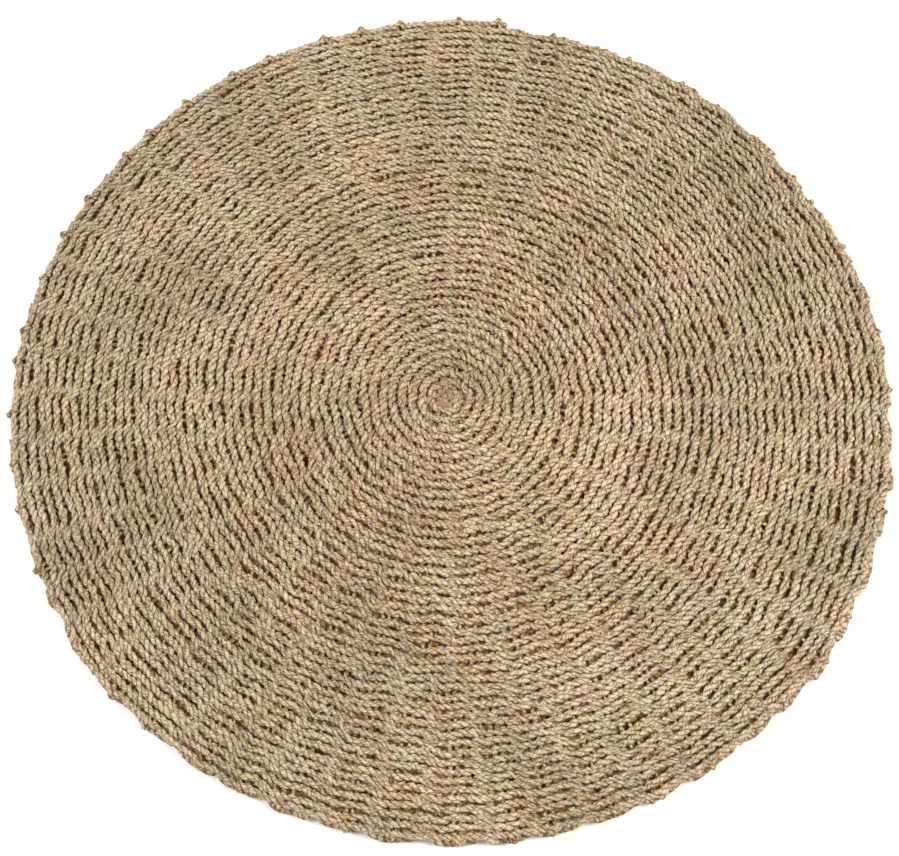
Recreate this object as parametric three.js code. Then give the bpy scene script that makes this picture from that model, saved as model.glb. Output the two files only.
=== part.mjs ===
// A round rug twined from seagrass cord, lying flat.
// The weave is one piece: rounds of weft cord wound outwards over radial spokes.
// Its solid has the rug's real thickness, its rounded edge and its uneven outline, with the bump that
// each spoke makes where it turns back at the rim, and the step where the last round of weft ends.

import * as THREE from 'three';

// Driving sizes, in millimetres.
const RIM_RADIUS = 497;
const THICKNESS = 14;
const EDGE_ROUND = 4;
const ROUND_PITCH = 10;

// The spokes' ends round the rim. Reach is how far an end stands out of the last round.
const SPOKE_COUNT = 54;
const SPOKE_END_REACH = 5;
const SPOKE_END_WIDTH = 15;
const SPOKE_END_DRIFT = 0.14;

// Places round the rim are in degrees, clockwise from +X as seen from above.
const LAST_ROUND_END = 274;
const LAST_ROUND_FADE = 24;
const LAST_ROUND_CUT = 0.7;

// Where the rim swells past its mean radius or draws in from it.
const SWELLS = [
  { at: 0, halfWidth: 8, amount: -3.5 },
  { at: 34, halfWidth: 10, amount: 4 },
  { at: 105, halfWidth: 14, amount: -1.5 },
  { at: 137, halfWidth: 9, amount: 4 },
  { at: 205, halfWidth: 22, amount: -1.5 },
  { at: 325, halfWidth: 6, amount: -4 },
];

// Steps of the outline from one spoke to the next, as shares of the way, close together at the bumps.
const STEPS_BETWEEN_SPOKES = [0, 0.05, 0.1, 0.16, 0.3, 0.5, 0.7, 0.84, 0.9, 0.95];

// The way from one place round the rim to another, from -180 to 180 degrees.
function degreesFrom(start, place) {
  return ((((place - start) % 360) + 540) % 360) - 180;
}

// Falls smoothly from 1 at 0 to 0 at 1 and past it.
function fade(share) {
  return share >= 1 ? 0 : 0.5 + 0.5 * Math.cos(Math.PI * share);
}

// Spokes lie nearly evenly. Each end drifts a little from its even place and reaches a little more or less.
function spokeEnd(index) {
  const drift = SPOKE_END_DRIFT * (Math.sin(2.4 * index) + 0.6 * Math.sin(5.1 * index + 1));
  return {
    at: ((index + drift) * 360) / SPOKE_COUNT,
    reach: SPOKE_END_REACH * (0.8 + 0.2 * Math.sin(1.7 * index)),
  };
}

// The last round stands half a pitch out until it ends, and the rim goes on half a pitch further in.
function lastRoundStep(place) {
  const past = degreesFrom(LAST_ROUND_END, place);
  const side = THREE.MathUtils.clamp(-past / LAST_ROUND_CUT, -1, 1);
  return (side * fade(Math.abs(past) / LAST_ROUND_FADE) * ROUND_PITCH) / 2;
}

function swell(place) {
  let amount = 0;
  for (const row of SWELLS) {
    amount += row.amount * fade(Math.abs(degreesFrom(row.at, place)) / row.halfWidth);
  }
  return amount;
}

function spokeBump(place, nearest) {
  const end = spokeEnd(nearest);
  const away = (Math.abs(degreesFrom(end.at, place)) * Math.PI * RIM_RADIUS) / 180;
  return end.reach * fade(away / (SPOKE_END_WIDTH / 2));
}

// One point of the outline: the place that is a share of the way from a spoke to the next.
function rimPoint(spoke, share) {
  const start = spokeEnd(spoke).at;
  const place = start + degreesFrom(start, spokeEnd((spoke + 1) % SPOKE_COUNT).at) * share;
  const nearest = share < 0.5 ? spoke : (spoke + 1) % SPOKE_COUNT;
  return {
    place,
    radius: RIM_RADIUS + swell(place) + lastRoundStep(place) + spokeBump(place, nearest),
  };
}

// A disc with a rounded edge is turned on a lathe. Each of its columns is then moved to its place in the
// outline, clockwise, and its points are pushed out or in with the rim. The profile runs from the top down,
// because the columns go round the other way than the lathe's own.
function matGeometry() {
  const profile = [
    new THREE.Vector2(0, THICKNESS),
    new THREE.Vector2(RIM_RADIUS - EDGE_ROUND, THICKNESS),
    new THREE.Vector2(RIM_RADIUS, THICKNESS - EDGE_ROUND),
    new THREE.Vector2(RIM_RADIUS, EDGE_ROUND),
    new THREE.Vector2(RIM_RADIUS - EDGE_ROUND, 0),
    new THREE.Vector2(0, 0),
  ];
  const stepCount = STEPS_BETWEEN_SPOKES.length;
  const columns = SPOKE_COUNT * stepCount;
  const geometry = new THREE.LatheGeometry(profile, columns);
  geometry.rotateX(Math.PI / 2);
  const position = geometry.attributes.position;
  for (let index = 0; index < position.count; index += 1) {
    const column = Math.floor(index / profile.length) % columns;
    const spoke = Math.floor(column / stepCount);
    const rim = rimPoint(spoke, STEPS_BETWEEN_SPOKES[column % stepCount]);
    const turned = Math.hypot(position.getX(index), position.getY(index));
    const radius = turned * (1 + (rim.radius - RIM_RADIUS) / RIM_RADIUS);
    const angle = -THREE.MathUtils.degToRad(rim.place);
    position.setXY(index, radius * Math.cos(angle), radius * Math.sin(angle));
  }
  geometry.computeBoundingBox();
  const centre = geometry.boundingBox.getCenter(new THREE.Vector3());
  geometry.translate(-centre.x, -centre.y, 0);
  geometry.computeVertexNormals();
  return geometry;
}

const seagrass = new THREE.MeshStandardMaterial({ color: 0xa89274, roughness: 0.85, metalness: 0 });

const mat = new THREE.Mesh(matGeometry(), seagrass);
mat.name = 'mat';

const rug = new THREE.Group();
rug.add(mat);

export default rug;
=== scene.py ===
# %% [markdown]
# # A round rug of twined seagrass
# The real rug is one long piece of handwork. Spokes of seagrass run out from the middle, and two cords
# of twisted seagrass, the wefts, are wound round them in 46 rounds. At each spoke one weft passes
# over and the other under, and between two spokes they cross. This script builds every round that way,
# so that the slits, the spokes that show in them and the crossings are all real shapes.

import bpy
import numpy as np
from mathutils import Matrix, Vector


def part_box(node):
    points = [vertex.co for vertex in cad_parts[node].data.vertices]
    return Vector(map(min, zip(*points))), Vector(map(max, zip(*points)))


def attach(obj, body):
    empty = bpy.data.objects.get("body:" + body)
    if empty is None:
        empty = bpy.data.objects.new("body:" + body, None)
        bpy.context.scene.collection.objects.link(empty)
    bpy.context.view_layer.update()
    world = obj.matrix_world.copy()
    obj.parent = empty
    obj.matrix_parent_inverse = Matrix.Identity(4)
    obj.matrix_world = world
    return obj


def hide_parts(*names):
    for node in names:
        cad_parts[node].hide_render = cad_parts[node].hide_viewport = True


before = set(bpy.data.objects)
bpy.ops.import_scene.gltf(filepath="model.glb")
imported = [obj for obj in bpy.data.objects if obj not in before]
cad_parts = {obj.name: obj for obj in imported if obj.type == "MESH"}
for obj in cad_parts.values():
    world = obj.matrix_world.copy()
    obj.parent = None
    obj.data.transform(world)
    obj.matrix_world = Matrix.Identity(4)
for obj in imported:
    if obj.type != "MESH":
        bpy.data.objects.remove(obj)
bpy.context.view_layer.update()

# %% [markdown]
# ## The camera
# The rug was photographed from above at a slight slant, from about the height of a standing person. Its
# round outline shows as an ellipse, and that ellipse gives the height of the view above the floor, the
# small roll of the camera and the lens. The camera is placed by the point on the floor that it looks at.

# %% Camera
IMAGE_WIDTH = 899
FOCAL_PIXELS = 1858.0
CAMERA_ELEVATION = np.radians(68.95)
CAMERA_ROLL = np.radians(3.8)
CAMERA_DISTANCE = 2.1
CAMERA_AIM = Vector((-0.0022, -0.0335, 0.0))
SENSOR_WIDTH = 36.0

looking = Vector((0.0, np.cos(CAMERA_ELEVATION), -np.sin(CAMERA_ELEVATION)))
level_right = Vector((1.0, 0.0, 0.0))
level_up = level_right.cross(looking)
camera_right = level_right * np.cos(CAMERA_ROLL) + level_up * np.sin(CAMERA_ROLL)
camera_up = camera_right.cross(looking)
camera_data = bpy.data.cameras.new("camera")
camera_data.sensor_width = SENSOR_WIDTH
camera_data.lens = SENSOR_WIDTH * FOCAL_PIXELS / IMAGE_WIDTH
camera = bpy.data.objects.new("camera", camera_data)
bpy.context.scene.collection.objects.link(camera)
turned = Matrix((camera_right, camera_up, -looking)).transposed().to_4x4()
camera.matrix_world = Matrix.Translation(CAMERA_AIM - looking * CAMERA_DISTANCE) @ turned
bpy.context.scene.camera = camera
print("lens", round(camera_data.lens, 1), "mm, camera at", [round(x, 3) for x in camera.location])

# %% [markdown]
# ## Sizes of the weave
# All sizes are in metres. A weft is a cord of two plies that turn round each other, and the weave
# presses it flat, so the cord and each ply are wider than they are high. The thickness of the mat comes
# from the frame, and half of it is the level of the spokes, which the wefts pass over and under.

# %% Sizes
RIM_RADIUS = 0.497
THICKNESS = (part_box("mat")[1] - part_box("mat")[0]).z
SPOKE_LEVEL = THICKNESS / 2

PLY_COUNT = 2
PLY_HALF_WIDTH = 0.0029
PLY_HALF_HEIGHT = 0.0018
PLY_SWING = 0.00175
PLY_RISE = 0.0011
PLY_TURN = 0.0185
WEFT_HALF_WIDTH = PLY_SWING + PLY_HALF_WIDTH
WEFT_HALF_HEIGHT = PLY_RISE + PLY_HALF_HEIGHT
WEFT_LIFT = SPOKE_LEVEL - WEFT_HALF_HEIGHT

INNER_PITCH = 0.0111
OUTER_PITCH = 0.0099
PITCH_CHANGES_AT = 0.26
PITCH_CHANGES_OVER = 0.09
FIRST_ROUND_RADIUS = 0.006

UNDER_HALF_WIDTH = 0.0070
STRAND_HALF_WIDTH = 0.0023
STRAND_GAP = 0.0042
print("a weft is up to", round(2000 * WEFT_HALF_WIDTH, 1), "mm wide and", round(2000 * WEFT_HALF_HEIGHT, 1),
      "mm high, and rises", round(1000 * WEFT_LIFT, 1), "mm over a spoke")

# %% [markdown]
# ## The rim
# The outline is not a true circle. It swells and draws in a little, it steps where the last round ends,
# and each spoke makes a bump where it turns back. These are the same numbers as in the solid that
# the rug replaces, so the weave fills that solid. Places round the rim are in degrees, clockwise
# from +X as seen from above, which is the way in which the rounds are wound.

# %% Rim
SPOKE_COUNT = 54
SPOKE_END_REACH = 0.005
SPOKE_END_DRIFT = 0.14
LAST_ROUND_END = 274.0
LAST_ROUND_FADE = 24.0
LAST_ROUND_CUT = 0.7
SWELLS = [
    {"at": 0, "half_width": 8, "amount": -0.0035},
    {"at": 34, "half_width": 10, "amount": 0.004},
    {"at": 105, "half_width": 14, "amount": -0.0015},
    {"at": 137, "half_width": 9, "amount": 0.004},
    {"at": 205, "half_width": 22, "amount": -0.0015},
    {"at": 325, "half_width": 6, "amount": -0.004},
]


def degrees_from(start, place):
    return (place - start + 180.0) % 360.0 - 180.0


def fade(share):
    """Falls smoothly from 1 at 0 to 0 at 1 and past it."""
    return 0.5 + 0.5 * np.cos(np.pi * np.clip(share, 0.0, 1.0))


def rise(share):
    """Climbs smoothly from 0 at 0 to 1 at 1 and past it."""
    return 1.0 - fade(share)


def last_round_step(place):
    past = degrees_from(LAST_ROUND_END, place)
    side = np.clip(-past / LAST_ROUND_CUT, -1.0, 1.0)
    return side * fade(np.abs(past) / LAST_ROUND_FADE) * OUTER_PITCH / 2


def swell(place):
    """How far the rim lies outside its mean radius, without the last round's step."""
    amount = np.zeros_like(place)
    for row in SWELLS:
        amount += row["amount"] * fade(np.abs(degrees_from(row["at"], place)) / row["half_width"])
    return amount


def spoke_drift(index):
    """How far a spoke's end lies from its even place, as a share of the way to the next one."""
    return SPOKE_END_DRIFT * (np.sin(2.4 * index) + 0.6 * np.sin(5.1 * index + 1))


places = np.arange(0.0, 360.0, 1.0)
rim = RIM_RADIUS + swell(places) + last_round_step(places)
print("rim radius from", round(rim.min(), 4), "to", round(rim.max(), 4))

# %% [markdown]
# ## Spokes
# The maker starts with 16 spokes and adds more as the gaps between them grow: one new spoke in every
# second gap, so 16 become 24, then 36, then 54. A new spoke starts halfway between its neighbours, and
# over the next few rounds they all draw apart until they are even. Nearest the middle the wefts take
# four spokes at a time, and then two.

# %% Places of the spokes
SPOKE_ZONES = [
    {"count": 4, "from_radius": 0.0},
    {"count": 8, "from_radius": 0.018},
    {"count": 16, "from_radius": 0.038},
    {"count": 24, "from_radius": 0.068},
    {"count": 36, "from_radius": 0.205},
    {"count": 54, "from_radius": 0.315},
]
SETTLING_WAY = 0.05
COUNTS = [zone["count"] for zone in SPOKE_ZONES]
STARTS = [zone["from_radius"] for zone in SPOKE_ZONES]

first_places = {SPOKE_COUNT: 0.0}
for count in (36, 24, 16):
    first_places[count] = (1.0 + first_places[count * 3 // 2]) * 2 / 3 - 0.5


def even_place(count, index):
    """Where a spoke lies among evenly spread ones, in turns of the circle."""
    return (index + first_places[count]) / count


def spoke_place(count, index, radius):
    """Where a spoke lies at a radius, in degrees."""
    index = np.asarray(index)
    radius = np.asarray(radius, dtype=float)
    if count < 16:
        first = spoke_place(2 * count, 2 * index, radius)
        second = spoke_place(2 * count, 2 * index + 1, radius)
        return (first + second) / 2
    settled = even_place(count, index)
    if count == 16:
        return 360.0 * settled + 0.0 * radius
    before = count * 2 // 3
    left = even_place(before, 2 * (index // 3))
    right = even_place(before, 2 * (index // 3) + 1)
    inserted = left + (right - left) * (index % 3) / 2
    way = rise((radius - STARTS[COUNTS.index(count)]) / SETTLING_WAY)
    turns = inserted + (settled - inserted) * way
    if count == SPOKE_COUNT:
        outwards = np.clip((radius - STARTS[-1]) / (RIM_RADIUS - STARTS[-1]), 0, 1)
        turns = turns + spoke_drift(index) / SPOKE_COUNT * outwards
    return 360.0 * turns


def zone_at(radius):
    return max(i for i, start in enumerate(STARTS) if radius >= start)


for zone in SPOKE_ZONES[1:]:
    gap = 2 * np.pi * zone["from_radius"] / zone["count"]
    print(zone["count"], "spokes from", zone["from_radius"], "m, a gap of", round(gap, 4), "m there")

# %% [markdown]
# ## Rounds and crossings
# The rounds are one spiral. Its radius is worked out from the rim inwards, a pitch at a time, because
# the outer rounds lie closer together than the inner ones. Where the spiral passes a spoke there is a
# station, and the stations are numbered from the middle to the end of the last round. A place along
# the spiral is then a number: 12.5 is halfway between stations 12 and 13, where the wefts cross.

# %% Stations
END_RADIUS = RIM_RADIUS + OUTER_PITCH / 2 - WEFT_HALF_WIDTH


def pitch_at(radius):
    way = rise((radius - PITCH_CHANGES_AT) / PITCH_CHANGES_OVER)
    return INNER_PITCH + (OUTER_PITCH - INNER_PITCH) * way


round_radii = [END_RADIUS]
while round_radii[-1] - pitch_at(round_radii[-1]) > FIRST_ROUND_RADIUS:
    round_radii.append(round_radii[-1] - pitch_at(round_radii[-1]))
round_radii = np.array(round_radii[::-1])

round_count = len(round_radii) - 1


def spiral_radius(turns):
    past_end = np.maximum(turns - round_count, 0)
    return np.interp(turns, np.arange(round_count + 1), round_radii) + OUTER_PITCH * past_end


station_turns = []
for zone, zone_end in zip(SPOKE_ZONES, STARTS[1:] + [1.0]):
    index = np.arange(zone["count"])
    first_place = spoke_place(zone["count"], index, zone["from_radius"])
    first_turn = (first_place - LAST_ROUND_END) / 360.0 % 1.0
    for number in range(-1, round_count + 1):
        turns = number + first_turn
        for settle in range(3):
            moved = spoke_place(zone["count"], index, spiral_radius(turns)) - first_place
            turns = number + first_turn + moved / 360.0
        radius = spiral_radius(turns)
        here = (turns >= 0) & (radius >= zone["from_radius"]) & (radius < zone_end)
        station_turns.extend(turns[here])
station_turns = np.sort(station_turns)
last_station = int(np.searchsorted(station_turns, round_count)) - 1
station_turns = station_turns[:last_station + 2]
station_radii = spiral_radius(station_turns)
station_gaps = np.diff(station_turns) * 2 * np.pi * (station_radii[1:] + station_radii[:-1]) / 2
end_share = (round_count - station_turns[-2]) / (station_turns[-1] - station_turns[-2])
weave_end = last_station + end_share
print(round_count, "rounds from", round(round_radii[0], 4), "m,", last_station + 1, "stations, gaps from",
      round(station_gaps.min(), 4), "to", round(station_gaps.max(), 4), "m")

# %% [markdown]
# ## Unevenness
# Nothing in the real rug repeats exactly. Rounds wander a little in and out, cords are thicker in one
# place than in another, and their twist runs tighter and looser. A helper gives a smooth wandering
# number along a cord, with the same result each time, because its random numbers have a fixed seed.
# Each use of it has a seed of its own, so no two things wander alike. The mat as a whole also waves
# gently, which moves neighbouring rounds together.

# %% Helpers for unevenness
AIMS = 4096
WEAVE_MIDDLE = np.array([-0.007, -0.002])


def wander(distance, stretch, seed):
    """A smooth wandering between -1 and 1, which takes a new aim every stretch."""
    aims = np.random.default_rng(seed).uniform(-1, 1, AIMS)
    place = np.asarray(distance) / stretch
    before = np.floor(place).astype(int)
    share = rise(place - before)
    return aims[before % AIMS] * (1 - share) + aims[(before + 1) % AIMS] * share


def mat_wave(x, y):
    """A gentle waving of the whole mat, between about -1 and 1."""
    return (np.sin(23 * x + 11 * y + 0.4) + np.sin(-17 * x + 29 * y + 2.1)
            + 0.7 * np.sin(41 * x - 7 * y + 4.0) + 0.7 * np.sin(9 * x + 47 * y + 1.2)) / 3.4


def on_the_mat(turns, radius, height):
    """The points at these turns of the spiral's circle, radii and heights above the spoke level."""
    place = LAST_ROUND_END + 360.0 * turns
    outward = (radius / RIM_RADIUS) ** 3
    share = np.minimum(turns, round_count - 1e-6) % 1.0
    near_end = fade(np.abs(degrees_from(LAST_ROUND_END, place)) / LAST_ROUND_FADE)
    step = OUTER_PITCH * (np.sign(share - 0.5) * near_end / 2 - (share - 0.5))
    reach = radius + outward * (swell(place) + step)
    x = reach * np.cos(np.radians(place)) + WEAVE_MIDDLE[0] * (1 - radius / RIM_RADIUS)
    y = -reach * np.sin(np.radians(place)) + WEAVE_MIDDLE[1] * (1 - radius / RIM_RADIUS)
    return np.stack(np.broadcast_arrays(x, y, SPOKE_LEVEL + height), axis=-1)


print("wander at 0, 1 and 2 m:", wander(np.array([0.0, 1.0, 2.0]), 0.1, 5).round(2))

# %% [markdown]
# ## The way of a weft
# Each weft turns round the other like the strands of a rope, half a turn from one spoke to the next.
# Most of that turn happens in the crossing midway between two spokes. The weft that dives passes on
# the inner side and the one that comes up on the outer side. It dives late, and the other comes up
# early, so for a short way both lie on top, side by side, and fill the gap to the next rounds. From
# one crossing to the next each weft climbs outwards again, so a round seen from above is a row of
# slanting steps. The last round is pulled straighter, and bulges a little where a spoke turns back.

# %% Shape of the crossings and floats
CROSSING_HALF_LENGTH = 0.0170
CROSSING_SWING = 0.0024
CROSSING_LATENESS = 0.42
LONGEST_CROSSING = 0.33
CLIMB = 0.0030
TURN_SPREAD = 0.22
UNDER_SHIFT = 0.0022
UNDER_SHIFT_AT_RIM = -0.0012
RIM_PRESS = 0.25
RIM_EVENNESS = 0.97
RIM_BULGE = 0.0022
RIM_BULGE_HALF_WIDTH = 0.009
print("crossings are about", round(2000 * CROSSING_HALF_LENGTH), "mm long where there is room for them")

# %% Chance in the crossings and floats
CROSSING_DRIFT = 0.10
CROSSING_LENGTH_WANDER = 0.4
SLANT_WANDER = 0.6
SHIFT_WANDER = 0.0012
LIFT_WANDER = 0.06
ROUND_WANDER = 0.0011
ROUND_WANDER_STRETCH = 0.034
FINE_WANDER = 0.0012
FINE_WANDER_STRETCH = 0.011
HEIGHT_WANDER = 0.0007
HEIGHT_WANDER_STRETCH = 0.016
SHARED_WANDER = 0.0016
SHARED_WANDER_FADE = 0.05

chance = np.random.default_rng(3)
crossing_share = 0.5 + CROSSING_DRIFT * chance.uniform(-1, 1, last_station + 1)
crossing_size = 1 + CROSSING_LENGTH_WANDER * chance.uniform(-1, 1, last_station + 1)
crossing_half = np.minimum(CROSSING_HALF_LENGTH * crossing_size / station_gaps, LONGEST_CROSSING)
float_slant = 1 + SLANT_WANDER * chance.uniform(-1, 1, (2, last_station + 2))
float_shift = SHIFT_WANDER * chance.uniform(-1, 1, (2, last_station + 2))
float_lift = 1 + LIFT_WANDER * chance.uniform(-1, 1, (2, last_station + 2))
print("crossings reach", crossing_half.min().round(2), "to", crossing_half.max().round(2), "of a gap")


# %% Way of a weft
def past_crossing(place):
    """The station before each place, the share of the way to the next one, and how far the place is past
    the crossing between them, in half lengths of the crossing."""
    before = np.clip(np.floor(place).astype(int), 0, last_station)
    share = place - before
    return before, share, (share - crossing_share[before]) / crossing_half[before]


def weft_way(place, weft):
    """Points of a weft, 0 or 1, at these places along the spiral."""
    before, share, past = past_crossing(place)
    crossing = crossing_share[before]
    turns = station_turns[before] * (1 - share) + station_turns[before + 1] * share
    radius = station_radii[before] * (1 - share) + station_radii[before + 1] * share
    lateness = np.where((before + weft) % 2 == 0, -CROSSING_LATENESS, CROSSING_LATENESS)
    slow_part = before + weft + TURN_SPREAD * share
    swing = np.sin(np.pi * (slow_part + (1 - TURN_SPREAD) * rise(past / 2 + 0.5)))
    over = np.cos(np.pi * (slow_part + (1 - TURN_SPREAD) * rise((past + lateness) / 2 + 0.5)))
    at_rim = rise((radius - round_radii[-2]) / OUTER_PITCH)

    nearest = np.where(past < 0, before, before + 1)
    on_top = ((nearest + weft) % 2 == 0).astype(int)
    since = np.where(past < 0, share / crossing, (share - 1) / (1 - crossing))
    settled = rise(np.abs(past))
    climb = CLIMB * float_slant[on_top, nearest] * since * settled
    climb = climb * np.where(over < 0, 1 - at_rim, 1 - RIM_EVENNESS * at_rim)
    along = turns * 2 * np.pi * radius
    stray = 1 - RIM_EVENNESS * at_rim
    aside = climb + (float_shift[on_top, nearest] * settled - CROSSING_SWING * swing) * stray
    under_shift = UNDER_SHIFT + (UNDER_SHIFT_AT_RIM - UNDER_SHIFT) * at_rim
    aside = aside + under_shift * (1 - over) / 2
    aside = aside + ROUND_WANDER * stray * wander(along, ROUND_WANDER_STRETCH, 11)
    from_spoke = np.minimum(share, 1 - share) * station_gaps[before]
    aside = aside + RIM_BULGE * at_rim * fade(from_spoke / RIM_BULGE_HALF_WIDTH)
    aside = aside + FINE_WANDER * wander(along + weft * 3.1, FINE_WANDER_STRETCH, 12)
    middle = on_the_mat(turns, radius, 0.0)
    shared = SHARED_WANDER * mat_wave(3 * middle[..., 0], 3 * middle[..., 1])
    shared = shared * np.clip((RIM_RADIUS - radius) / SHARED_WANDER_FADE, 0, 1)
    lift = WEFT_LIFT * over * (1 - RIM_PRESS * at_rim) * (1 + (float_lift[on_top, nearest] - 1) * settled)
    lower = 0.5 + 0.5 * wander(along + weft * 5.3, HEIGHT_WANDER_STRETCH, 13)
    lift = lift - HEIGHT_WANDER * over * lower
    return on_the_mat(turns, radius + aside + shared, lift)


test = weft_way(np.array([10.0, 10.5, 11.0]), 0)
print("a weft over, between and under:", (test[:, 2] * 1000).round(1), "mm high")

# %% [markdown]
# ## Cord meshes from arrays
# The rug has thousands of short stretches of cord, far too many for one object or one operator each.
# Each stretch is a closed tube with a few rings of points. The rings of all the stretches are worked
# out together as arrays, and one mesh is made of them: walls between the rings of a stretch, and a
# face over each of its ends, which lies inside another cord.
#
# Each mesh gets two UV maps. On the first, U is the distance along the strand in metres and V the way
# round it, counted from the side of a ply that faces out of the cord, for the material. The second
# lays all the stretches beside each other in a square, for baking.

# %% Directions along a cord
def frames_along(ahead):
    """Unit vectors sideways, level, and upwards for points that look ahead."""
    forward = ahead / np.linalg.norm(ahead, axis=-1, keepdims=True)
    sideways = np.cross(np.array([0.0, 0.0, 1.0]), forward)
    sideways /= np.linalg.norm(sideways, axis=-1, keepdims=True)
    return sideways, np.cross(forward, sideways)


# %% Layout for baking
def bake_layout(stretch, distance, around):
    """Lays the stretches end to end in rows of a square. Returns each ring's U, its row's V and the height
    of a row."""
    first = np.flatnonzero(np.diff(stretch, prepend=-1))
    last = np.append(first[1:], len(stretch)) - 1
    lengths = distance[last] - distance[first]
    before = np.concatenate([[0.0], np.cumsum(lengths)])
    rows = max(1, int(np.ceil(np.sqrt(before[-1] / around))))
    row_length = before[-1] / rows * 1.02 + lengths.max()
    row = np.floor(before[:-1] / (row_length - lengths.max())).astype(int)
    row_start = before[np.searchsorted(row, row, side="left")]
    which = np.cumsum(np.diff(stretch, prepend=stretch[0]) > 0)
    along = (before[:-1] - row_start)[which] + distance - distance[first][which]
    return along / row_length, (row / (row.max() + 1))[which], 1 / (row.max() + 1)


# %% One mesh of many tubes
def rings_and_ways(walls, ends, sides):
    """The ring of each corner of the walls and ends, and its way round from 0 to 1. Where a wall closes
    the tube its way round ends at 1, and does not start at 0 again."""
    corners = np.concatenate([walls.ravel(), ends.ravel()])
    side_of = corners % sides
    closing = np.zeros_like(corners)
    closing[:walls.size].reshape(-1, 4)[:, 1:3] = side_of[:walls.size].reshape(-1, 4)[:, 1:3] == 0
    return corners // sides, side_of / sides + closing


def tube_mesh(name, rings, stretch, distance, around, turned=0.0):
    """Joins rings of points, shaped (rings, sides, 3), into one mesh of closed tubes. Turned is how many
    turns the plies are behind each ring's first side."""
    count, sides = rings.shape[:2]
    side = np.arange(sides)
    after = (side + 1) % sides
    start = np.flatnonzero(stretch[:-1] == stretch[1:])
    first = np.flatnonzero(np.diff(stretch, prepend=-1))
    last = np.append(first[1:], count) - 1
    walls = np.stack([
        start[:, None] * sides + side, start[:, None] * sides + after,
        (start[:, None] + 1) * sides + after, (start[:, None] + 1) * sides + side,
    ], axis=-1).reshape(-1, 4)
    ends = np.concatenate([last[:, None] * sides + side, first[:, None] * sides + side[::-1]])

    mesh = bpy.data.meshes.new(name)
    mesh.from_pydata(rings.reshape(-1, 3), [], walls.tolist() + ends.tolist())
    mesh.polygons.foreach_set("use_smooth", np.ones(len(walls) + len(ends), dtype=bool))

    ring_of, way_round = rings_and_ways(walls, ends, sides)
    pattern = mesh.uv_layers.new(name="cord")
    pattern_v = way_round + np.broadcast_to(turned, distance.shape)[ring_of]
    pattern_uv = np.stack([distance[ring_of], pattern_v], -1)
    pattern.uv.foreach_set("vector", pattern_uv.astype(np.float32).ravel())
    u_bake, row_v, row_height = bake_layout(stretch, distance, around)
    bake_uv = np.stack([u_bake[ring_of], row_v[ring_of] + row_height * way_round], -1)
    baking = mesh.uv_layers.new(name="OFBake")
    baking.uv.foreach_set("vector", bake_uv.astype(np.float32).ravel())
    mesh.update()
    return mesh


def add_piece(mesh, material):
    piece = bpy.data.objects.new(mesh.name, mesh)
    bpy.context.scene.collection.objects.link(piece)
    mesh.materials.append(material)
    mesh.calc_loop_triangles()
    print(mesh.name, len(mesh.loop_triangles), "triangles")
    return piece


# %% [markdown]
# ## Seagrass
# Dry seagrass is a straw-coloured blade with a satin skin. One blade is golden, the next olive, grey or
# a little pink, and a cord changes colour along its length as the blades in it change. The material
# reads the strand's own map: noise stretched along the strand gives the blades and the thin dark lines
# between them, and a slower noise their hue. The dark and pale blades are partly the blades' own tones
# and partly painted shade between blades, with a painted sheen on the pale ones, and the thin dark lines
# are painted shade in the gaps between blades. A ply is twisted one way and the two plies are laid
# together the other way, so the blades end up nearly in line with the cord, and the lean does that.
#
# The seams between the plies are painted darker and browner, as painted shade in the grooves, and all
# that lies deep in a slit gets painted shade, darker and browner, as light reaches it only from other
# blades. Soft patches over the whole mat are bundles of seagrass that dried differently, and towards the
# left the rug is a little darker, as in the photograph. Streaks in a bump make the fibres. A spoke's
# strand gets the painted shade of its seams from the colour alone. It fades in the middle, where the
# strands are thin and untwisted.

# %% Helpers for nodes
def node(tree, kind, inputs=None, **settings):
    """Adds a node, sets its options and its inputs, which are values or other nodes' outputs."""
    made = tree.nodes.new(kind)
    for key, value in settings.items():
        setattr(made, key, value)
    for key, value in (inputs or {}).items():
        if isinstance(value, bpy.types.NodeSocket):
            tree.links.new(value, made.inputs[key])
        else:
            made.inputs[key].default_value = value
    return made


def math(tree, operation, *values):
    return node(tree, "ShaderNodeMath", dict(enumerate(values)), operation=operation).outputs[0]


def ramp(tree, value, stops):
    """A colour for each value, between stops of a place and a colour."""
    made = node(tree, "ShaderNodeValToRGB", {"Fac": value})
    elements = made.color_ramp.elements
    while len(elements) < len(stops):
        elements.new(0.5)
    for element, (place, colour) in zip(elements, stops):
        element.position = place
        element.color = (*colour, 1.0)
    return made.outputs["Color"]


def tinted(tree, share, colour, tint):
    """The colour multiplied by the tint, as far as the share says."""
    made = node(tree, "ShaderNodeMix", data_type="RGBA", blend_type="MULTIPLY")
    for key, value in ((0, share), (6, colour), (7, tint)):
        if isinstance(value, bpy.types.NodeSocket):
            tree.links.new(value, made.inputs[key])
        else:
            made.inputs[key].default_value = value
    return made.outputs[2]


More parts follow.
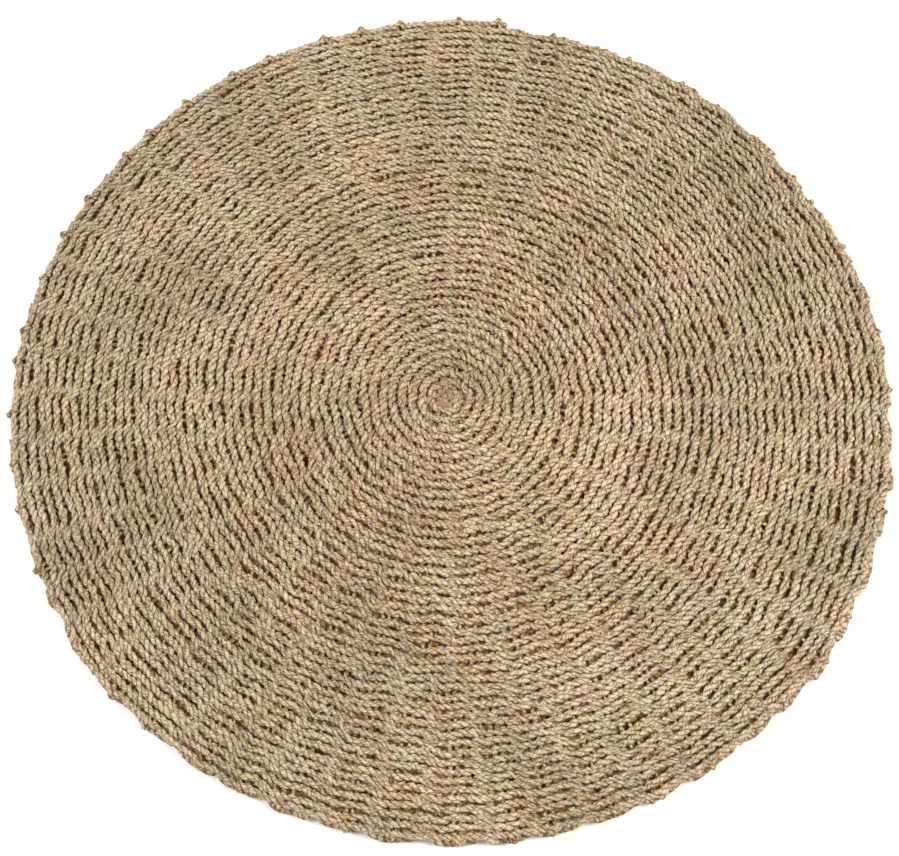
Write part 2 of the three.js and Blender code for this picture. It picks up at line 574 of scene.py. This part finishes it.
# %% Colours of seagrass
SEAGRASS_COLOUR = (0.590, 0.441, 0.276)
HUE_STEPS = [
    {"length": 0.05, "seed": 4.0, "from": (1.05, 0.98, 1.00), "to": (0.94, 1.02, 0.98)},
    {"length": 0.07, "seed": 9.0, "from": (0.99, 1.00, 1.08), "to": (1.00, 1.00, 0.92)},
]
PATCHES = [
    {"scale": 8.0, "from": (0.84, 0.84, 0.81), "to": (1.07, 1.08, 1.11)},
    {"scale": 17.0, "from": (1.025, 0.985, 1.00), "to": (0.97, 1.01, 0.99)},
    {"scale": 23.0, "from": (0.99, 1.00, 1.05), "to": (1.00, 1.00, 0.94)},
]
SIDE_TINTS = [(0.0, (0.86, 0.86, 0.85)), (0.55, (1.0, 1.0, 1.0)), (1.0, (0.95, 0.955, 0.98))]
RIM_TINTS = [(0.1, (0.96, 0.945, 0.93)), (0.4, (1.01, 1.0, 0.99)), (0.9, (0.975, 1.0, 1.0))]
BLADE_LENGTH = 0.0070
EDGE_LENGTH = 0.0090
FIBRE_LENGTH = 0.0040
# The dark and pale blades: partly their own tones, partly painted shade and a painted sheen on the pale
# ones.
DARK_BLADE_AND_PAINTED_SHADE = (0.50, 0.39, 0.25)
PALE_BLADE_AND_PAINTED_SHEEN = (1.18, 1.25, 1.46)
# Painted shade in the seams between plies.
PAINTED_SEAM_SHADE = (0.41, 0.29, 0.15)
# Painted shade in the thin gaps between blades.
PAINTED_BLADE_GAP_SHADE = (0.50, 0.39, 0.26)
# Painted shade deep in a slit, darker and browner, between these heights and short of the rim.
PAINTED_SLIT_SHADE = (0.82, 0.58, 0.25)
PAINTED_SLIT_SHADE_BELOW = {"From Min": 0.0078, "From Max": 0.0066}
PAINTED_SLIT_SHADE_ABOVE = {"From Min": 0.0015, "From Max": 0.0035}
PAINTED_SLIT_SHADE_ENDS_AT_RIM = {"From Min": RIM_RADIUS - 0.014, "From Max": RIM_RADIUS - 0.006}
SPOKE_TINT = (1.0, 0.95, 0.86)
MIDDLE_RADIUS = 0.02
LEANS = {"ply": 1.9, "cord": 1.9, "spoke": -1.0}
PLY_OFFSET = 100.0
SPOKE_TURN = 0.015
BUMP_DISTANCE = 0.0013


# %% Streaks and seams
def streaks(tree, along, turn, length, fineness, seed, **settings):
    """Noise stretched along the strand. Fineness is about the number of blades in a third of the way
    round."""
    at = node(tree, "ShaderNodeCombineXYZ", {
        "X": math(tree, "MULTIPLY_ADD", along, 1 / length, seed),
        "Y": math(tree, "MULTIPLY", math(tree, "COSINE", turn), fineness),
        "Z": math(tree, "MULTIPLY", math(tree, "SINE", turn), fineness)})
    made = node(tree, "ShaderNodeTexNoise", {"Vector": at.outputs[0], "Scale": 1.0, **settings})
    return made.outputs["Fac"]


def painted_seam_share(tree, along, turn, kind):
    """How near a point is to a seam between two plies, where shade is painted. On a ply the seam faces the
    cord's middle. On a whole cord there is one between each ply and the next, and a spoke's seams wind
    round it."""
    where = turn if kind == "ply" else math(tree, "MULTIPLY", turn, float(PLY_COUNT))
    if kind == "spoke":
        where = math(tree, "MULTIPLY_ADD", along, 2 * np.pi * PLY_COUNT / SPOKE_TURN, where)
    return node(tree, "ShaderNodeMapRange", {
        "Value": math(tree, "COSINE", where), "From Min": -0.1, "From Max": -0.6}).outputs[0]


# %% Parts of the colour
def along_strand(tree, colour, along):
    """The colour with its slow changes of hue along a strand."""
    for step in HUE_STEPS:
        at = node(tree, "ShaderNodeCombineXYZ", {
            "X": math(tree, "MULTIPLY_ADD", along, 1 / step["length"], step["seed"])})
        noise = node(tree, "ShaderNodeTexNoise", {"Vector": at.outputs[0], "Scale": 1.0, "Detail": 1.0})
        hue = ramp(tree, noise.outputs["Fac"], [(0.34, step["from"]), (0.66, step["to"])])
        colour = tinted(tree, 1.0, colour, hue)
    return colour


def over_mat(tree, colour, place, from_left, outward):
    """The colour with what changes over the mat: from side to side, towards the rim and in patches."""
    colour = tinted(tree, 1.0, colour, ramp(tree, from_left, SIDE_TINTS))
    colour = tinted(tree, 1.0, colour, ramp(tree, outward, RIM_TINTS))
    for patch in PATCHES:
        noise = node(tree, "ShaderNodeTexNoise", {"Vector": place, "Scale": patch["scale"], "Detail": 1.0})
        hue = ramp(tree, noise.outputs["Fac"], [(0.34, patch["from"]), (0.66, patch["to"])])
        colour = tinted(tree, 1.0, colour, hue)
    return colour


def with_blades_and_painted_shade(tree, colour, blades, edges):
    """The colour with its blades, dark and pale, which are partly their own tones and partly painted shade
    and a painted sheen, and the thin dark lines of painted shade between them.
    """
    shade = ramp(tree, blades, [(0.38, DARK_BLADE_AND_PAINTED_SHADE), (0.50, (1.0, 1.0, 1.0)), (0.62, PALE_BLADE_AND_PAINTED_SHEEN)])
    colour = tinted(tree, 1.0, colour, shade)
    edge = math(tree, "ABSOLUTE", math(tree, "SUBTRACT", edges, 0.5))
    line = ramp(tree, edge, [(0.0, PAINTED_BLADE_GAP_SHADE), (0.045, (1.0, 1.0, 1.0))])
    return tinted(tree, 1.0, colour, line)


def spoke_with_painted_seam_shade(tree, colour, seam, from_centre):
    """A spoke's colour with the painted shade of its seams, which fades in the middle, and the spoke's
    tint.
    """
    past_middle = node(tree, "ShaderNodeMapRange", {
        "Value": from_centre, "From Min": MIDDLE_RADIUS, "From Max": 2 * MIDDLE_RADIUS,
        "To Min": 0.15, "To Max": 1.0})
    seam = math(tree, "MULTIPLY", seam, past_middle.outputs[0])
    colour = tinted(tree, seam, colour, (*PAINTED_SEAM_SHADE, 1.0))
    return tinted(tree, 1.0, colour, (*SPOKE_TINT, 1.0))


def weft_with_painted_shade(tree, colour, seam, from_centre, height):
    """A weft's colour with painted shade at its seams, and painted shade, darker and browner, deep in a
    slit but not at the rim.
    """
    colour = tinted(tree, seam, colour, (*PAINTED_SEAM_SHADE, 1.0))
    # Painted shade, darker and browner, deep in a slit between the floor and the floats on top.
    below_top = node(tree, "ShaderNodeMapRange", {"Value": height, **PAINTED_SLIT_SHADE_BELOW})
    above_floor = node(tree, "ShaderNodeMapRange", {"Value": height, **PAINTED_SLIT_SHADE_ABOVE})
    deep = math(tree, "MULTIPLY", below_top.outputs[0], above_floor.outputs[0])
    inside = node(tree, "ShaderNodeMapRange", {
        "Value": from_centre, **PAINTED_SLIT_SHADE_ENDS_AT_RIM, "To Min": 1.0, "To Max": 0.0})
    slit_shade_share = math(tree, "MULTIPLY", deep, inside.outputs[0])
    return tinted(tree, slit_shade_share, colour, (*PAINTED_SLIT_SHADE, 1.0))


# %% Seagrass material
def seagrass(kind):
    """The material of a ply, a whole cord or a spoke. Its lean is how far the blades turn back against
    the twist of the plies."""
    made = bpy.data.materials.new(f"seagrass {kind}")
    made.use_nodes = True
    tree = made.node_tree
    tree.nodes.clear()
    cord = node(tree, "ShaderNodeUVMap", uv_map="cord").outputs["UV"]
    parts = node(tree, "ShaderNodeSeparateXYZ", {"Vector": cord})
    along = parts.outputs["X"]
    turn = math(tree, "MULTIPLY", parts.outputs["Y"], 2 * np.pi)
    if kind == "cord":
        ply = math(tree, "ROUND", math(tree, "MULTIPLY", parts.outputs["Y"], float(PLY_COUNT)))
        along = math(tree, "MULTIPLY_ADD", math(tree, "MODULO", ply, float(PLY_COUNT)), PLY_OFFSET, along)
    blade_turn = math(tree, "MULTIPLY_ADD", along, 2 * np.pi * LEANS[kind] / PLY_TURN, turn)
    place = node(tree, "ShaderNodeTexCoord").outputs["Object"]
    at = node(tree, "ShaderNodeSeparateXYZ", {"Vector": place})
    from_left = math(tree, "ADD", at.outputs["X"], 0.5)
    flat_place = node(tree, "ShaderNodeVectorMath", {0: place, 1: (1.0, 1.0, 0.0)}, operation="MULTIPLY")
    centred = node(tree, "ShaderNodeVectorMath", {0: flat_place.outputs[0]}, operation="LENGTH")
    from_centre = centred.outputs["Value"]

    blades = streaks(tree, along, blade_turn, BLADE_LENGTH, 1.3, 0.0, Detail=1.5, Distortion=0.4)
    edges = streaks(tree, along, blade_turn, EDGE_LENGTH, 1.6, 31.0, Detail=1.0, Distortion=0.5)
    fibres = streaks(tree, along, blade_turn, FIBRE_LENGTH, 5.0, 57.0, Detail=3.0)
    colour = along_strand(tree, (*SEAGRASS_COLOUR, 1.0), along)
    colour = over_mat(tree, colour, place, from_left, math(tree, "DIVIDE", from_centre, RIM_RADIUS))
    # Blades partly of their own tones and partly painted shade and sheen, with painted shade between them.
    colour = with_blades_and_painted_shade(tree, colour, blades, edges)
    # Painted shade at the seams between plies, and for a weft also deep in the slits.
    seam = painted_seam_share(tree, along, turn, kind)
    if kind == "spoke":
        colour = spoke_with_painted_seam_shade(tree, colour, seam, from_centre)
    else:
        colour = weft_with_painted_shade(tree, colour, seam, from_centre, at.outputs["Z"])

    rise_and_fall = math(tree, "MULTIPLY_ADD", blades, 1.6, math(tree, "MULTIPLY", fibres, 0.5))
    bump = node(tree, "ShaderNodeBump", {
        "Height": rise_and_fall, "Strength": 0.9, "Distance": BUMP_DISTANCE})
    rough = node(tree, "ShaderNodeMapRange", {
        "Value": blades, "From Min": 0.3, "From Max": 0.7, "To Min": 0.64, "To Max": 0.42})
    shader = node(tree, "ShaderNodeBsdfPrincipled", {
        "Base Color": colour, "Roughness": rough.outputs[0], "Normal": bump.outputs[0],
        "Specular IOR Level": 0.5})
    node(tree, "ShaderNodeOutputMaterial", {"Surface": shader.outputs[0]})
    print(made.name, "has", len(tree.nodes), "nodes")
    return made


ply_seagrass = seagrass("ply")
cord_seagrass = seagrass("cord")
spoke_seagrass = seagrass("spoke")

# %% [markdown]
# ## The wefts
# A weft's float over a spoke and its float under the next one are two stretches of the same cord. They
# are meshed apart because they are seen differently: on top each ply is a tube of its own, and
# underneath one tube stands for the whole cord. Each stretch runs on a little into the crossing,
# inside the other, and where the wefts cross they squeeze each other a bit narrower.

# %% Lengths of the wefts
SECOND_WEFT_OFFSET = 500.0
STEPS_IN_A_GAP = 24


def measured_along(weft):
    """Places along the spiral and a weft's length up to each of them."""
    places = np.arange(0, (last_station + 1) * STEPS_IN_A_GAP + 1) / STEPS_IN_A_GAP
    steps = np.linalg.norm(np.diff(weft_way(places, weft), axis=0), axis=1)
    return places, np.concatenate([[0.0], np.cumsum(steps)])


WEFT_LENGTHS = [measured_along(weft) for weft in (0, 1)]
print("the wefts are", [round(lengths[-1], 1) for places, lengths in WEFT_LENGTHS], "m long")

# %% Rings of the wefts
CORD_SHARE = 0.90
WIDTH_WANDER = 0.21
WIDTH_WANDER_STRETCH = 0.013
SLOW_WIDTH_WANDER = 0.126
SLOW_WIDTH_WANDER_STRETCH = 0.35
TWIST_WANDER = 2.8
TWIST_WANDER_STRETCH = 0.03
CROSSING_PINCH = 0.20
PINCH_REACH = 1.3
OVERRUN = 0.04
FLOOR_CLEARANCE = 0.0002
PITCH_SHARE = 0.7
FEWEST_STEPS = 5
LOOK_AHEAD = 0.01


def float_places(weft, stations, step, on_top):
    """Places along the spiral for the rings of a weft's floats at these stations, and each ring's float.
    The diving weft stays up late, so a float on top is longer than one underneath."""
    places, lengths = WEFT_LENGTHS[weft]
    late = CROSSING_LATENESS if on_top else -CROSSING_LATENESS
    crossings = np.arange(last_station + 1) + crossing_share
    starts = np.append(0, (crossings - late * crossing_half - OVERRUN)[:-1])
    ends = crossings + late * crossing_half + OVERRUN
    low = np.clip(starts[stations], 0, weave_end)
    high = np.clip(ends[stations], 0, weave_end)
    float_lengths = np.interp(high, places, lengths) - np.interp(low, places, lengths)
    counts = np.maximum(np.round(float_lengths / step).astype(int), FEWEST_STEPS) + 1
    stretch = np.repeat(np.arange(len(stations)), counts)
    within = np.arange(counts.sum()) - np.repeat(np.cumsum(counts) - counts, counts)
    return low[stretch] + (high - low)[stretch] * within / (counts[stretch] - 1), stretch


def weft_rings(weft, stations, step, sides, ply=None):
    """Rings of one ply of a weft's floats at these stations, or of the whole cord: their points, stretch,
    distance along, and how many turns the ring's first side is behind the ply's outer side."""
    place, stretch = float_places(weft, stations, step, ply is not None)
    centre = weft_way(place, weft)
    ahead = weft_way(place + LOOK_AHEAD, weft) - weft_way(place - LOOK_AHEAD, weft)
    sideways, upwards = frames_along(ahead)
    distance = np.interp(place, *WEFT_LENGTHS[weft]) + SECOND_WEFT_OFFSET * weft
    twist = 2 * np.pi * distance / PLY_TURN
    twist = twist + TWIST_WANDER * wander(distance, TWIST_WANDER_STRETCH, 21)
    height = np.clip(np.abs(centre[:, 2] - SPOKE_LEVEL) / WEFT_LIFT, 0, 1)
    pinch = 1 - CROSSING_PINCH * fade(np.abs(past_crossing(place)[2]) / PINCH_REACH)
    radius = np.interp(place, np.arange(last_station + 2), station_radii)
    scale = (pitch_at(radius) / OUTER_PITCH) ** PITCH_SHARE
    size = scale * (1 + SLOW_WIDTH_WANDER * wander(distance, SLOW_WIDTH_WANDER_STRETCH, 32))
    if ply is None:
        widening = rise(2 * height)
        crossing_width = WEFT_HALF_WIDTH * CORD_SHARE
        half_width = size * (crossing_width + (UNDER_HALF_WIDTH - crossing_width) * widening)
        half_height = WEFT_HALF_HEIGHT * CORD_SHARE * size * pinch
    else:
        size = size * pinch
        twist = twist + 2 * np.pi * ply / PLY_COUNT
        distance = distance + PLY_OFFSET * ply
        centre = centre + (PLY_SWING * size * np.cos(twist))[:, None] * sideways
        centre = centre + (PLY_RISE * size * np.sin(twist))[:, None] * upwards
        wider, higher = [wander(distance, WIDTH_WANDER_STRETCH, seed) for seed in (31, 35)]
        half_width = PLY_HALF_WIDTH * size * (1 + WIDTH_WANDER * wider)
        half_height = PLY_HALF_HEIGHT * size * (1 + WIDTH_WANDER * higher)
    around = 2 * np.pi * np.arange(sides) / sides
    wide = half_width[:, None] * np.cos(around)
    high = half_height[:, None] * np.sin(around)
    rings = centre[:, None] + wide[..., None] * sideways[:, None] + high[..., None] * upwards[:, None]
    rings[..., 2] = np.maximum(rings[..., 2], FLOOR_CLEARANCE)
    return rings, stretch, distance, -twist / (2 * np.pi)


def joined(parts, floats_each):
    """Puts several lists of rings after each other, with their stretches numbered on."""
    rings, stretch, distance, turned = [np.concatenate(column) for column in zip(*parts)]
    part = np.repeat(np.arange(len(parts)), [len(each[1]) for each in parts])
    return rings, stretch + part * floats_each, distance, turned


# %% [markdown]
# ## Floats on top
# The two plies of a cord turn round each other, so the seams between them are real grooves that
# catch the light like those of a rope. The rings stand close enough for the turns to stay round. Each
# weft is made in two pieces, the inner and the outer rounds, because a piece stays under 200,000
# triangles.

# %% Floats on top
TOP_STEP = 0.0036
TOP_SIDES = 6
INNER_PART_RADIUS = 0.352
PLY_AROUND = np.pi * (PLY_HALF_WIDTH + PLY_HALF_HEIGHT)

top_pieces = []
for weft, weft_name in ((0, "first_weft"), (1, "second_weft")):
    numbers = np.arange(last_station + 1)
    over = numbers[numbers % 2 == weft]
    inner = station_radii[over] < INNER_PART_RADIUS
    for part_name, stations in (("inner_rounds", over[inner]), ("outer_rounds", over[~inner])):
        parts = [weft_rings(weft, stations, TOP_STEP, TOP_SIDES, ply) for ply in range(PLY_COUNT)]
        rings, stretch, distance, turned = joined(parts, len(stations))
        mesh = tube_mesh(f"{weft_name}_{part_name}", rings, stretch, distance, PLY_AROUND, turned)
        top_pieces.append(add_piece(mesh, ply_seagrass))

# %% [markdown]
# ## Floats underneath
# Against the floor a cord is pressed wide and flat, and through the slits only its colour is seen. So
# one wide tube with few rings is enough for it. These floats overlap at their edges and close nearly
# all the slits from below, as in the photograph, where the floor hardly shows.

# %% Floats underneath
UNDER_STEP = 0.0068
UNDER_SIDES = 6
WEFT_AROUND = np.pi * (UNDER_HALF_WIDTH + WEFT_HALF_HEIGHT)

parts = []
for weft in (0, 1):
    numbers = np.arange(last_station + 1)
    under = numbers[numbers % 2 != weft]
    parts.append(weft_rings(weft, under, UNDER_STEP, UNDER_SIDES))
rings, stretch, distance, turned = joined(parts, last_station + 1)
mesh = tube_mesh("wefts_underneath", rings, stretch, distance, WEFT_AROUND, turned)
underside = add_piece(mesh, cord_seagrass)

# %% [markdown]
# ## The spokes
# A spoke is a doubled strand. Its two legs run out side by side, and at the rim the strand turns back
# over the last round in a small loop. These loops are the bumps of the outline. Between two rounds
# the legs bulge up a little and show as pale spots in the slits, and under a float they are pressed
# down. Each leg is drawn through those high and low points, which the rounds give.

# %% Ways of the spokes
LEG_GAP_SHARE = 0.16
LEG_BULGE = 0.00102
LEG_BULGE_STRETCH = 0.01
LEG_DIP = 0.0006
HIDDEN_START = 0.012
MIDDLE_SPOKE_GAP = 0.0050
MIDDLE_START = -0.0006
MIDDLE_ROUNDS = 2
MIDDLE_END_GAP = 0.003
LEG_SPREAD_WANDERS = (0.25, 0.15)
LEG_SPREAD_STRETCH = 0.05


def spoke_family(index):
    """The number that a spoke of the rim has in each zone that it reaches, by the zone's count."""
    family = {SPOKE_COUNT: index}
    count, number = SPOKE_COUNT, index
    while count > 16 and number % 3 != 1:
        number = 2 * (number // 3) + (number % 3) // 2
        count = count * 2 // 3
        family[count] = number
    return family


def zone_counts(radius, family):
    return np.array([max(COUNTS[zone_at(max(value, 0.0))], min(family)) for value in radius])


def spoke_course(index, radius):
    """Places in degrees of a spoke's middle line at these radii, and how far its legs are apart."""
    family = spoke_family(index)
    counts = zone_counts(radius, family)
    place = np.array([spoke_place(count, family[count], value) for count, value in zip(counts, radius)])
    by_spoke, along_spoke = LEG_SPREAD_WANDERS
    uneven = by_spoke * np.sin(2.9 * index)
    uneven = uneven + along_spoke * wander(radius + index, LEG_SPREAD_STRETCH, 42)
    spread = STRAND_GAP * (1 + uneven)
    return place, np.minimum(spread, LEG_GAP_SHARE * 2 * np.pi * np.maximum(radius, 0) / counts)


def leg_stops(index):
    """Radii and heights of a leg's high and low points, from its start to the last round."""
    family = spoke_family(index)
    end_place = spoke_place(SPOKE_COUNT, index, RIM_RADIUS)
    share = float((end_place - LAST_ROUND_END) % 360.0) / 360.0
    rounds = round_radii[:-1] * (1 - share) + round_radii[1:] * share
    if min(family) == 16:
        middle_end = rounds[MIDDLE_ROUNDS] - MIDDLE_END_GAP
        inner = np.arange(MIDDLE_START, middle_end, MIDDLE_SPOKE_GAP / 2)
        rounds = rounds[MIDDLE_ROUNDS:]
    else:
        start = STARTS[COUNTS.index(min(family))] - HIDDEN_START
        rounds = rounds[rounds > start]
        inner = np.array([start])
    slits = (rounds[:-1] + rounds[1:]) / 2
    radius = np.concatenate([inner, np.stack([rounds[:-1], slits], -1).ravel(), rounds[-1:]])
    bulges = LEG_BULGE * (1 + wander(slits, LEG_BULGE_STRETCH, 300 + index))
    waves = np.stack([np.full(len(slits), -LEG_DIP), bulges], -1).ravel()
    height = np.concatenate([0 * inner, waves, [-LEG_DIP]])
    return radius, height


print("spoke 0 is in the zones of", list(spoke_family(0)), "and spoke 1 in", list(spoke_family(1)))

# %% [markdown]
# ## The middle
# The first 16 spokes are the ends of eight doubled strands, four each way, which are woven over and
# under each other in the middle and fan out from there. They are thinner and closer together where
# they cross, so the middle is a small disc of finer work.

# %% Crossing in the middle
FAN_START = 0.008
FAN_LENGTH = 0.018
MIDDLE_LEG_GAP = 0.0012
MIDDLE_HALF_WIDTH = 0.0014
MIDDLE_LIFT = 0.0022
WEAVE_LIFT = 0.0024
FULL_WIDTH_RADIUS = 0.05
print("the crossing strands take up", round(4000 * MIDDLE_SPOKE_GAP), "mm in the middle")


def crossed_points(number, leg, radius):
    """Points of a leg of one of the 16 first spokes, where these run straight and cross."""
    quarter, row = divmod(number + 2, 4)
    offset = (row - 1.5) * MIDDLE_SPOKE_GAP + leg * MIDDLE_LEG_GAP
    turned = -np.pi / 2 * quarter
    along = np.array([np.cos(turned), np.sin(turned)])
    beside = np.array([np.sin(turned), -np.cos(turned)])
    points = np.zeros((len(radius), 3))
    points[:, :2] = radius[:, None] * along + offset * beside + WEAVE_MIDDLE
    first_over = 1 if (quarter + row + (quarter // 2) * 3) % 2 else -1
    over_and_under = first_over * np.cos(np.pi * (radius / MIDDLE_SPOKE_GAP + 1.5))
    points[:, 2] = SPOKE_LEVEL + MIDDLE_LIFT + WEAVE_LIFT * over_and_under
    return points


def leg_points(index, radius, height, leg):
    """Points of the leg on the anticlockwise side, -1, or the clockwise side, 1, of a spoke."""
    place, apart = spoke_course(index, radius)
    clockwise = np.stack([-np.sin(np.radians(place)), -np.cos(np.radians(place))], -1)
    turns = (place - LAST_ROUND_END) / 360.0 % 1.0
    points = on_the_mat(turns, radius, height)
    points[:, :2] += clockwise * (leg * apart)[:, None]
    family = spoke_family(index)
    if min(family) == 16:
        fan = fade((radius - FAN_START) / FAN_LENGTH)[:, None]
        points = points * (1 - fan) + crossed_points(family[16], leg, radius) * fan
    return points


# %% [markdown]
# ## The loops at the rim
# One leg passes under the last float, bends round the last round and comes back over it, then dives
# between the last two rounds and goes on as the other leg. The bend is tight, which makes the bumps
# of the outline pointed. The table gives the loop's way: aside of the spoke's middle line as a share of
# the legs' distance, out from the last float's middle as a share of the reach, and up from the spoke's
# level in metres.

# %% Loops
LOOP_REACH = 0.0016
LOOP_HALF_WIDTH = 0.0029
LOOP = [
    {"aside": -0.80, "out": 0.20, "up": 0.0000},
    {"aside": -0.45, "out": 0.62, "up": 0.0006},
    {"aside": -0.16, "out": 0.92, "up": 0.0014},
    {"aside": 0.06, "out": 1.00, "up": 0.0026},
    {"aside": 0.30, "out": 0.86, "up": 0.0036},
    {"aside": 0.55, "out": 0.50, "up": 0.0046},
    {"aside": 0.85, "out": 0.05, "up": 0.0051},
    {"aside": 1.00, "out": -0.45, "up": 0.0040},
]
print("a loop rises", round(1000 * max(row["up"] for row in LOOP), 1), "mm over the level of the spokes")


def loop_points(index, last_radius):
    place = float(spoke_place(SPOKE_COUNT, index, RIM_RADIUS))
    reach = WEFT_HALF_WIDTH - LOOP_REACH + SPOKE_END_REACH * (0.8 + 0.2 * np.sin(1.7 * index))
    apart = spoke_course(index, np.array([last_radius]))[1][0]
    clockwise = np.array([-np.sin(np.radians(place)), -np.cos(np.radians(place)), 0.0])
    turn = (place - LAST_ROUND_END) / 360.0 % 1.0
    turns = round_count - 1 + turn
    points = []
    for row in LOOP:
        on_middle_line = on_the_mat(turns, last_radius + row["out"] * reach, row["up"])
        points.append(on_middle_line + clockwise * row["aside"] * apart)
    return np.array(points)


def strand_line(index):
    """The whole way of a doubled strand, and its half width along it."""
    radius, height = leg_stops(index)
    out = leg_points(index, radius, height, -1)
    back = leg_points(index, radius, height, 1)[:-1][::-1]
    loop = loop_points(index, radius[-1])
    points = np.concatenate([out, loop, back])
    width = MIDDLE_HALF_WIDTH + (STRAND_HALF_WIDTH - MIDDLE_HALF_WIDTH) * rise(radius / FULL_WIDTH_RADIUS)
    widths = np.concatenate([width, np.full(len(loop), LOOP_HALF_WIDTH), width[:-1][::-1]])
    return points, widths


# %% [markdown]
# ## One mesh of all the spokes
# A spoke's strand is one tube from its start along one leg, round the loop and back along the other
# leg. It has a ring of points at each high and low point of its way, and all 54 tubes are one piece.

# %% Spokes
SPOKE_SIDES = 6
SPOKE_FLATNESS = 0.78
SPOKE_WIDTH_WANDER = 0.12
SPOKE_WIDTH_WANDER_STRETCH = 0.012
SPOKE_OFFSET = 0.1

strand_rings = []
strand_stretches = []
strand_distances = []
run = 0.0
around = 2 * np.pi * np.arange(SPOKE_SIDES) / SPOKE_SIDES
for index in range(SPOKE_COUNT):
    centre, widths = strand_line(index)
    at = run + np.concatenate([[0.0], np.cumsum(np.linalg.norm(np.diff(centre, axis=0), axis=1))])
    sideways, upwards = frames_along(np.gradient(centre, axis=0))
    size = widths * (1 + SPOKE_WIDTH_WANDER * wander(at, SPOKE_WIDTH_WANDER_STRETCH, 51))
    wide = size[:, None] * np.cos(around)
    high = SPOKE_FLATNESS * size[:, None] * np.sin(around)
    ring = wide[..., None] * sideways[:, None] + high[..., None] * upwards[:, None]
    strand_rings.append(centre[:, None] + ring)
    strand_stretches.append(np.full(len(at), index))
    strand_distances.append(at)
    run = at[-1] + SPOKE_OFFSET
strand_parts = [np.concatenate(part) for part in (strand_rings, strand_stretches, strand_distances)]
spokes = add_piece(tube_mesh("spokes", *strand_parts, 2 * np.pi * STRAND_HALF_WIDTH), spoke_seagrass)
print("the spokes take", round(run - SPOKE_OFFSET * SPOKE_COUNT, 1), "m of strand")

# %% [markdown]
# ## Floor and light
# The photograph is a cut-out on white. In it, the rounds that run up and down show more light and shade
# than those that run across, and no side of a cord is darker than the other. So the light came from
# the left and the right alike, as it does on a copying stand: two large lamps, far enough off to
# light the whole rug evenly, and a bright sky. The pale floor comes out white under them.

# %% Stage
FLOOR_COLOUR = (0.94, 0.92, 0.89, 1.0)
FLOOR_SIZE = 40.0
SKY_STRENGTH = 0.54
LAMP_HEIGHT = 3.2
LAMP_DISTANCE = 4.4
LAMP_SIZE = 2.4
LAMPS = [
    {"name": "left lamp", "side": -1, "power": 275.0},
    {"name": "right lamp", "side": 1, "power": 300.0},
]

floor_material = bpy.data.materials.new("floor")
floor_material.use_nodes = True
floor_shader = floor_material.node_tree.nodes["Principled BSDF"]
floor_shader.inputs["Base Color"].default_value = FLOOR_COLOUR
floor_shader.inputs["Roughness"].default_value = 0.9
bpy.ops.mesh.primitive_plane_add(size=FLOOR_SIZE)
floor = bpy.context.object
floor.name = "floor"
floor.data.materials.append(floor_material)

world = bpy.data.worlds.new("sky")
bpy.context.scene.world = world
world.use_nodes = True
world.node_tree.nodes["Background"].inputs["Color"].default_value = (1.0, 1.0, 1.0, 1.0)
world.node_tree.nodes["Background"].inputs["Strength"].default_value = SKY_STRENGTH

for row in LAMPS:
    lamp_data = bpy.data.lights.new(row["name"], "AREA")
    lamp_data.energy = row["power"]
    lamp_data.size = LAMP_SIZE
    lamp = bpy.data.objects.new(row["name"], lamp_data)
    bpy.context.scene.collection.objects.link(lamp)
    lamp.location = (row["side"] * LAMP_DISTANCE, 0.0, LAMP_HEIGHT)
    lamp.rotation_euler = (-lamp.location).to_track_quat("-Z", "Y").to_euler()
    print(row["name"], row["power"], "W at", [round(x, 2) for x in lamp.location])
bpy.context.scene.view_settings.view_transform = "Standard"

# %% [markdown]
# ## One body
# Every piece rides on the rug's one body, and the plain solid is hidden, so the pieces stand in its place.

# %% Ride, and hide the solid
rug_pieces = [underside, *top_pieces, spokes]
for piece in rug_pieces:
    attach(piece, "root")
    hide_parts("mat")
print(len(rug_pieces), "pieces on a mat of", round(np.pi * RIM_RADIUS ** 2, 3), "square metres")
